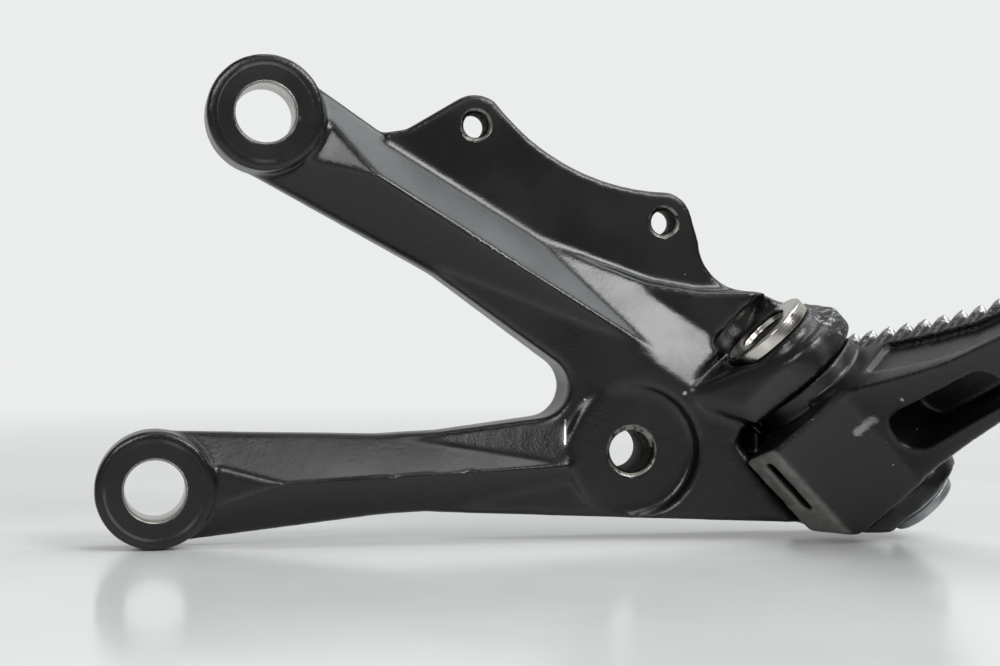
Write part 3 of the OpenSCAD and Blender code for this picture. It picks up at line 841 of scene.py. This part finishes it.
@dataclass
class BracketCasting:
    """The bracket: two arms with eyes, hub, boss, guard lug and clevis, in one casting."""

    frame: dict
    eyes: tuple[tuple[float, float], ...] = ((0.0, 0.0), (21.7, 75.0))
    eye_bore_r: float = 6.0
    eye_chamfer: float = 0.4
    body_t: float = 12.0
    boss: tuple[float, float] = (96.4, 6.8)
    boss_front: float = -2.2
    boss_back: float = 12.8
    pivot_core_r: float = 4.25
    pivot_major_r: float = 4.85
    pivot_pitch: float = 1.25
    pivot_chamfer: float = 0.6
    guards: tuple[tuple[float, float], ...] = ((65.0, 73.9), (105.2, 54.4))
    guard_front: float = 4.0
    guard_back: float = 11.7
    guard_core_r: float = 2.5
    guard_major_r: float = 2.95
    guard_pitch: float = 1.0
    guard_sink: float = 0.9
    eye_fill_r: float = 7.2
    pivot_fill_r: float = 5.6
    guard_fill_r: float = 3.9

    def plugs(self) -> list[Spun]:
        """Fill the bores, so that their mouths stay crisp when they are cut again.

        Returns:
            One filler for each bore.
        """
        bores = [(x, z, self.eye_fill_r, 0.0, self.body_t) for x, z in self.eyes]
        bores += [(*self.boss, self.pivot_fill_r, self.boss_front, self.boss_back)]
        bores += [(x, z, self.guard_fill_r, self.guard_front, self.guard_back) for x, z in self.guards]
        return [Spun([(0, front), (radius, front), (radius, back), (0, back)], along_y(x, z), 48)
                for x, z, radius, front, back in bores]

    def mouth(self, x: float, z: float, radius: float, front: float, back: float, chamfer: float,
              material: bpy.types.Material) -> list[bpy.types.Mesh]:
        """Two cones that break the edges of a hole's mouths.

        Args:
            x: The hole's place.
            z: Its height.
            radius: Its radius.
            front: Where it starts, along Y.
            back: Where it ends.
            chamfer: Width of the broken edge.
            material: The finish that the broken edges take.

        Returns:
            The cones, front and back.
        """
        out = 1.5
        cones = []
        for at, way in ((front, 1.0), (back, -1.0)):
            profile = [(0, at - way * out), (radius + chamfer + out, at - way * out),
                       (radius - 0.2, at + way * (chamfer + 0.2)), (0, at + way * (chamfer + 0.2))]
            cones.append(Spun(profile, along_y(x, z), 64).mesh("mouth", material))
        return cones

    def build(self, paint: bpy.types.Material, bore: bpy.types.Material, thread: bpy.types.Material,
              lip: bpy.types.Material) -> bpy.types.Object:
        """Make the piece and put it on its body.

        Args:
            paint: The black finish.
            bore: The finish of the eyes' walls.
            thread: The finish of the threads.
            lip: The finish of the threads' mouths.

        Returns:
            The finished piece.
        """
        casting = Casting(self.frame, "bracket", "bracket_casting", voxel_mm=0.5, relax=26, triangles=170000,
                          plugs=self.plugs())
        obj = casting.skin()
        obj.data.materials.clear()
        obj.data.materials.append(paint)
        far = 3.0
        tools = []
        for x, z in self.eyes:
            r, c, t = self.eye_bore_r, self.eye_chamfer, self.body_t
            profile = [(0, -far), (r + c + far, -far), (r + c, 0), (r, c), (r, t - c), (r + c, t),
                       (r + c + far, t + far), (0, t + far)]
            tools.append(Spun(profile, along_y(x, z), 96).mesh("eye_tool", bore))
        pivot = ThreadCutter(self.pivot_core_r, self.pivot_major_r, self.pivot_pitch, self.boss_front - far,
                             self.boss_back + far, along_y(*self.boss), 48)
        tools.append(pivot.mesh("pivot_tool", thread))
        for x, z in self.guards:
            guard = ThreadCutter(self.guard_core_r, self.guard_major_r, self.guard_pitch,
                                 self.guard_front - far, self.guard_back + far, along_y(x, z), 40)
            tools.append(guard.mesh("guard_tool", thread))
        casting.cut(obj, tools)
        cones = self.mouth(*self.boss, self.pivot_major_r - 0.1, self.boss_front, self.boss_back,
                           self.pivot_chamfer, lip)
        for x, z in self.guards:
            cones += self.mouth(x, z, self.guard_core_r, self.guard_front, self.guard_back,
                                self.guard_sink, lip)
        casting.cut(obj, cones)
        casting.wear(obj, WearZones(full_per_mm=0.9, base=0.1, balls=((137.0, -11.0, 34.5, 7.5, 0.9),)))
        shade(obj, CAST_CREASE_DEG)
        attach(obj, Body.BRACKET.value)
        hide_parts("bracket")
        return obj


@dataclass
class FootpegCasting:
    """The footpeg: barrel, heel and toothed tread in one casting."""

    frame: dict
    middle: float = 24.75
    rise_deg: float = 22.4
    barrel_r: float = 12.0
    heel_end: float = -22.0
    slot: tuple[float, float, float, float] = (-3.65, 0.6, 7.2, 2.0)
    slot_h: float = 3.5
    tread_z: float = 7.5
    soften_rounds: int = 60

    def own_frame(self, obj: bpy.types.Object) -> np.ndarray:
        """Turn the mesh's points into the footpeg's own frame.

        Args:
            obj: The piece.

        Returns:
            Places in millimetres, one row per point.
        """
        points = np.empty(len(obj.data.vertices) * 3, np.float32)
        obj.data.vertices.foreach_get("co", points)
        base = (HINGE.matrix() @ Matrix.Translation((self.middle * MM, 0, 0))
                @ Matrix.Rotation(math.radians(-self.rise_deg), 4, "X")).inverted()
        turn = np.array(base.to_3x3())
        return (points.reshape(-1, 3).astype(float) @ turn.T + np.array(base.translation)) / MM

    def cast_zone(self, places: np.ndarray) -> np.ndarray:
        """Where the casting is left round: below the tread, away from the barrel and the slot.

        Args:
            places: Places in the footpeg's own frame, in millimetres.

        Returns:
            One weight per place.
        """
        below_tread = np.clip((self.tread_z - places[:, 2]) / 2.0, 0.0, 1.0)
        off_barrel = np.clip((np.hypot(places[:, 1], places[:, 2]) - self.barrel_r - 0.4) / 1.6, 0.0, 1.0)
        x, y, half_x, half_y = self.slot
        near_slot = ((np.abs(places[:, 0] - x) < half_x) & (np.abs(places[:, 1] - y) < half_y)
                     & (places[:, 2] < self.heel_end + self.slot_h))
        return below_tread * off_barrel * np.where(near_slot, 0.1, 1.0)

    def build(self, paint: bpy.types.Material) -> bpy.types.Object:
        """Make the piece and put it on its body.

        Args:
            paint: The black finish with its worn teeth.

        Returns:
            The finished piece.
        """
        casting = Casting(self.frame, "footpeg", "footpeg_casting", voxel_mm=0.36, relax=4, triangles=170000)
        obj = casting.skin()
        casting.soften(obj, self.cast_zone(self.own_frame(obj)), self.soften_rounds)
        obj.data.materials.clear()
        obj.data.materials.append(paint)
        casting.wear(obj, WearZones(full_per_mm=1.0, base=0.15, slab=(0.690, 0.381, 0.616, 7.5, 9.8),
                                    slab_weight=1.25, slab_bare=0.62))
        # how far each point lies on the end of the heel, where the paint turns a lighter grey
        ends = np.clip((self.heel_end + 1.0 - self.own_frame(obj)[:, 2]) / 0.6, 0.0, 1.0)
        layer = obj.data.attributes.new("heel_end_mask", "FLOAT", "POINT")
        layer.data.foreach_set("value", ends.astype(np.float32))
        shade(obj, CAST_CREASE_DEG)
        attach(obj, Body.FOOTPEG.value)
        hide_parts("footpeg")
        return obj


# Turned pieces


@dataclass
class HingePin:
    """Turned steel pin: shank, wide flat head and a recess in the head."""

    head_r: float = 9.5
    head_top: float = -4.6
    head_under: float = -1.5
    recess_r: float = 5.2
    recess_h: float = 1.8
    shank_r: float = 4.0
    end: float = 46.8

    def build(self, steel: bpy.types.Material) -> bpy.types.Object:
        """Spin the pin.

        Args:
            steel: The bright finish.

        Returns:
            The finished piece.
        """
        floor = self.head_top + self.recess_h
        profile = [(0, floor), (self.recess_r - 0.9, floor), (self.recess_r - 0.15, floor - 0.5),
                   (self.recess_r, self.head_top + 0.35), (self.recess_r + 0.35, self.head_top),
                   (self.head_r - 0.45, self.head_top), (self.head_r, self.head_top + 0.45),
                   (self.head_r, self.head_under - 0.35), (self.head_r - 0.35, self.head_under),
                   (self.shank_r, self.head_under), (self.shank_r, self.end - 0.8),
                   (self.shank_r - 0.8, self.end), (0, self.end)]
        mesh = Spun(profile, HINGE.matrix(), 128, 0.08).mesh("hinge_pin_turned", steel)
        obj = link_object("hinge_pin_turned", mesh)
        shade(obj, 35)
        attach(obj, Body.BRACKET.value)
        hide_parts("hinge_pin")
        return obj


@dataclass
class PinWasher:
    """Punched washer between the lower lug and the cap."""

    bore_r: float = 4.2
    outer_r: float = 8.0
    front: float = 43.0
    back: float = 44.2

    def build(self, zinc: bpy.types.Material) -> bpy.types.Object:
        """Spin the washer, rounded on its punched side.

        Args:
            zinc: The plated finish.

        Returns:
            The finished piece.
        """
        profile = [(self.bore_r, self.front + 0.1), (self.bore_r + 0.15, self.front),
                   (self.outer_r - 0.1, self.front), (self.outer_r, self.front + 0.1),
                   (self.outer_r, self.back - 0.35), (self.outer_r - 0.35, self.back),
                   (self.bore_r + 0.2, self.back), (self.bore_r, self.back - 0.2),
                   (self.bore_r, self.front + 0.1)]
        mesh = Spun(profile, HINGE.matrix(), 96).mesh("pin_washer_punched", zinc)
        obj = link_object("pin_washer_punched", mesh)
        shade(obj, 35)
        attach(obj, Body.BRACKET.value)
        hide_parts("pin_washer")
        return obj


@dataclass
class RetainingCap:
    """Pressed cap pushed on the end of the pin: a rolled edge around a raised middle."""

    outer_r: float = 7.6
    bore_r: float = 4.0
    front: float = 44.22
    top: float = 47.0
    wall: float = 0.8

    def build(self, zinc: bpy.types.Material) -> bpy.types.Object:
        """Spin the cap.

        Args:
            zinc: The plated finish.

        Returns:
            The finished piece.
        """
        inner = self.top - self.wall
        profile = [(0, inner), (self.bore_r - 0.3, inner), (self.bore_r, inner - 0.3),
                   (self.bore_r, self.front + 0.3), (self.bore_r + 0.3, self.front),
                   (self.outer_r - 0.3, self.front), (self.outer_r, self.front + 0.3),
                   (self.outer_r, self.top - 1.5), (self.outer_r - 0.35, self.top - 0.75),
                   (self.outer_r - 1.1, self.top - 0.45), (self.outer_r - 2.0, self.top - 0.6),
                   (self.outer_r - 2.5, self.top - 0.45), (self.outer_r - 2.9, self.top - 0.05),
                   (self.outer_r - 3.6, self.top), (0, self.top)]
        mesh = Spun(profile, HINGE.matrix(), 96, 0.1).mesh("retaining_cap_pressed", zinc)
        obj = link_object("retaining_cap_pressed", mesh)
        shade(obj, 40)
        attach(obj, Body.BRACKET.value)
        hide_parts("retaining_cap")
        return obj


@dataclass
class ReturnSpring:
    """Wound spring in the heel of the footpeg, kept from the frame."""

    frame: dict

    def dress(self, wire: bpy.types.Material) -> bpy.types.Object:
        """Give the coil its drawn-wire finish.

        Args:
            wire: The dark wire finish.

        Returns:
            The frame's own object.
        """
        obj = self.frame["nodes"]["return_spring"]
        obj.data.materials.clear()
        obj.data.materials.append(wire)
        return obj


# Studio


@dataclass(frozen=True)
class SoftBox:
    """A lamp that faces the part.

    The bearing is seen from the part, from the front towards the right, and the height is an angle above it.
    Width, height and distance are in metres, and the face has a brightness where white is 1.
    """

    name: str
    bearing_deg: float
    height_deg: float
    size: tuple[float, float]
    brightness: float
    tint: str = "#FFFFFF"
    distance: float = 1.1

    def hang(self, aim: Vector) -> None:
        """Add the lamp to the scene.

        Args:
            aim: The point that it is turned to.
        """
        bearing, height = math.radians(self.bearing_deg), math.radians(self.height_deg)
        level = Vector((math.sin(bearing), -math.cos(bearing), 0.0))
        away = level * math.cos(height) + Vector((0.0, 0.0, math.sin(height)))
        light = bpy.data.lights.new(self.name, "AREA")
        light.shape = "RECTANGLE"
        light.size, light.size_y = self.size
        light.energy = self.brightness * math.pi * self.size[0] * self.size[1]
        light.color = linear(self.tint)[:3]
        obj = bpy.data.objects.new(self.name, light)
        bpy.context.scene.collection.objects.link(obj)
        obj.location = aim + away * self.distance
        obj.rotation_euler = (-away).to_track_quat("-Z", "Y").to_euler()


@dataclass(frozen=True)
class Studio:
    """Table, lamps, room and camera."""

    table_z_mm: float = -11.86
    lens: float = 64.8
    eye_mm: tuple[float, float, float] = (-4.81, -360.0, 31.04)
    turn_deg: float = 11.6157
    diffuse_room: float = 0.45
    front_left: float = 0.24
    front_right: float = 0.05
    behind: float = 0.75
    overhead: float = 0.8
    aim: tuple[float, float, float] = (0.08, 0.0, 0.03)
    lamps: tuple[SoftBox, ...] = (
        SoftBox("key_box", 33.0, 36.0, (0.46, 0.34), 14.0),
        SoftBox("left_box", -24.0, 26.0, (0.40, 0.34), 7.5),
        SoftBox("right_box", 95.0, 52.0, (0.75, 0.55), 3.9, "#F3F9FB"),
        SoftBox("top_box", 60.0, 80.0, (0.75, 0.5), 3.4),
    )

    def table(self) -> bpy.types.Object:
        """Make the table top.

        Returns:
            The table top.
        """
        bm = bmesh.new()
        bmesh.ops.create_grid(bm, x_segments=8, y_segments=8, size=4.0)
        bmesh.ops.translate(bm, verts=bm.verts, vec=(0, 1.5, self.table_z_mm * MM))
        mesh = bpy.data.meshes.new("table_top")
        bm.to_mesh(mesh)
        bm.free()
        mesh.materials.append(StudioFloor().build())
        obj = link_object("table_top", mesh)
        return obj

    def room(self) -> None:
        """White backdrop all around for the eye, and a dimmer room for the light itself."""
        world = bpy.data.worlds.new("room")
        bpy.context.scene.world = world
        world.use_nodes = True
        tree = world.node_tree
        tree.nodes.clear()
        path = add(tree, "ShaderNodeLightPath")
        way = add(tree, "ShaderNodeTexCoord").outputs["Generated"]
        axes = add(tree, "ShaderNodeSeparateXYZ", {0: way})
        # the room mirrored by gloss: a bright backdrop behind, darker in front and overhead
        front = add(tree, "ShaderNodeMapRange",
                    span(axes.outputs[0], 0.3, 0.75, self.front_left, self.front_right), **SMOOTH).outputs[0]
        back = add(tree, "ShaderNodeMapRange", span(axes.outputs[1], -0.3, 0.4), **SMOOTH).outputs[0]
        around = add(tree, "ShaderNodeMix", {0: back, 2: front, 3: self.behind}, data_type="FLOAT").outputs[0]
        above = add(tree, "ShaderNodeMapRange",
                    span(axes.outputs[2], 0.55, 0.9, 1.0, self.overhead), **SMOOTH).outputs[0]
        mirrored = add(tree, "ShaderNodeMath", {0: around, 1: above}, operation="MULTIPLY").outputs[0]
        gloss = add(tree, "ShaderNodeMath",
                    {0: path.outputs["Is Glossy Ray"], 1: path.outputs["Is Transmission Ray"]},
                    operation="MAXIMUM").outputs[0]
        strength = add(tree, "ShaderNodeMix", {0: gloss, 2: self.diffuse_room, 3: mirrored},
                       data_type="FLOAT").outputs[0]
        strength = add(tree, "ShaderNodeMix", {0: path.outputs["Is Camera Ray"], 2: strength, 3: 1.0},
                       data_type="FLOAT").outputs[0]
        shine = add(tree, "ShaderNodeBackground", {"Color": linear(BACKDROP), "Strength": strength})
        add(tree, "ShaderNodeOutputWorld", {"Surface": shine.outputs[0]})

    def camera(self) -> None:
        """Set the camera where the photograph was taken from."""
        data = bpy.data.cameras.new("view")
        data.lens = self.lens
        data.sensor_width = 36.0
        data.clip_start = 0.01
        data.clip_end = 50.0
        obj = bpy.data.objects.new("view", data)
        bpy.context.scene.collection.objects.link(obj)
        obj.location = tuple(c * MM for c in self.eye_mm)
        obj.rotation_euler = (math.radians(90), 0.0, math.radians(-self.turn_deg))
        bpy.context.scene.camera = obj

    def build(self) -> None:
        """Set up the whole studio."""
        self.table()
        self.room()
        for lamp in self.lamps:
            lamp.hang(Vector(self.aim))
        self.camera()
        bpy.context.scene.view_settings.view_transform = "Standard"


def main() -> None:
    """Build the part, piece by piece, and the studio around it."""
    logging.basicConfig(level=logging.INFO)
    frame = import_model()

    paint = SatinPaint(
        eye_marks=((0.0, 0.0, 0.0), (21.7, 0.0, 75.0)),
        rough_spots=((137.0, -11.0, 35.0, 8.0),),
        scuffs=((109.0, -2.4, 20.2, 0.9), (106.9, -5.2, 18.7, 0.8), (82.7, -0.7, 16.4, 0.5),
                (86.7, -1.4, 17.4, 0.5), (92.2, -2.2, 3.8, 0.5), (93.8, -2.2, 2.4, 0.6),
                (95.8, -2.2, 1.7, 0.5)),
        streaks=(Streak((82.7, -0.7, 13.2), (82.4, -1.8, 8.3), 0.4, 0.75),),
    ).build()
    peg_paint = SatinPaint(name="satin_black_paint_with_worn_teeth", roughness_low=0.27, roughness_high=0.36,
                           speck_mm=7.0, scuffs=((142.1, -33.1, 18.0, 0.7), (139.9, -24.6, 15.6, 0.4)),
                           streaks=(Streak((137.4, -22.6, 11.3), (140.0, -24.8, 13.9), 1.7, 0.5),)).build()
    bore = TurnedMetal("bored_aluminium", "#C9C8C4", "#7A756C", 0.3, (0.0, 0.0, 0.0), (0.0, 1.0, 0.0)).build()
    thread = TurnedMetal("tapped_aluminium", "#5A5753", "#262422", 0.36, (96.4, 0.0, 6.8), (0.0, 1.0, 0.0),
                         stain_share=0.8).build()
    lip = TurnedMetal("chipped_thread_mouth", "#77756F", "#1B1A19", 0.38, (96.4, 0.0, 6.8), (0.0, 1.0, 0.0),
                      stain_mm=1.2, stain_share=0.95).build()
    axis = tuple(HINGE.axis())
    steel = TurnedMetal("bright_turned_steel", "#BDB9B3", "#8A8279", 0.2, HINGE.point(), axis).build()
    zinc = TurnedMetal("dull_zinc_plate", "#9EA0A2", "#77797B", 0.4, HINGE.point(), axis).build()
    wire = TurnedMetal("dark_drawn_wire", "#4A4A4C", "#2A2A2B", 0.35, HINGE.point(), axis).build()

    pieces = [
        BracketCasting(frame).build(paint, bore, thread, lip),
        FootpegCasting(frame).build(peg_paint),
        HingePin().build(steel),
        PinWasher().build(zinc),
        RetainingCap().build(zinc),
        ReturnSpring(frame).dress(wire),
    ]
    for piece in pieces:
        LOG.info("%s: %d triangles", piece.name, triangle_count(piece.data))
    Studio().build()


if __name__ == "__main__":
    main()
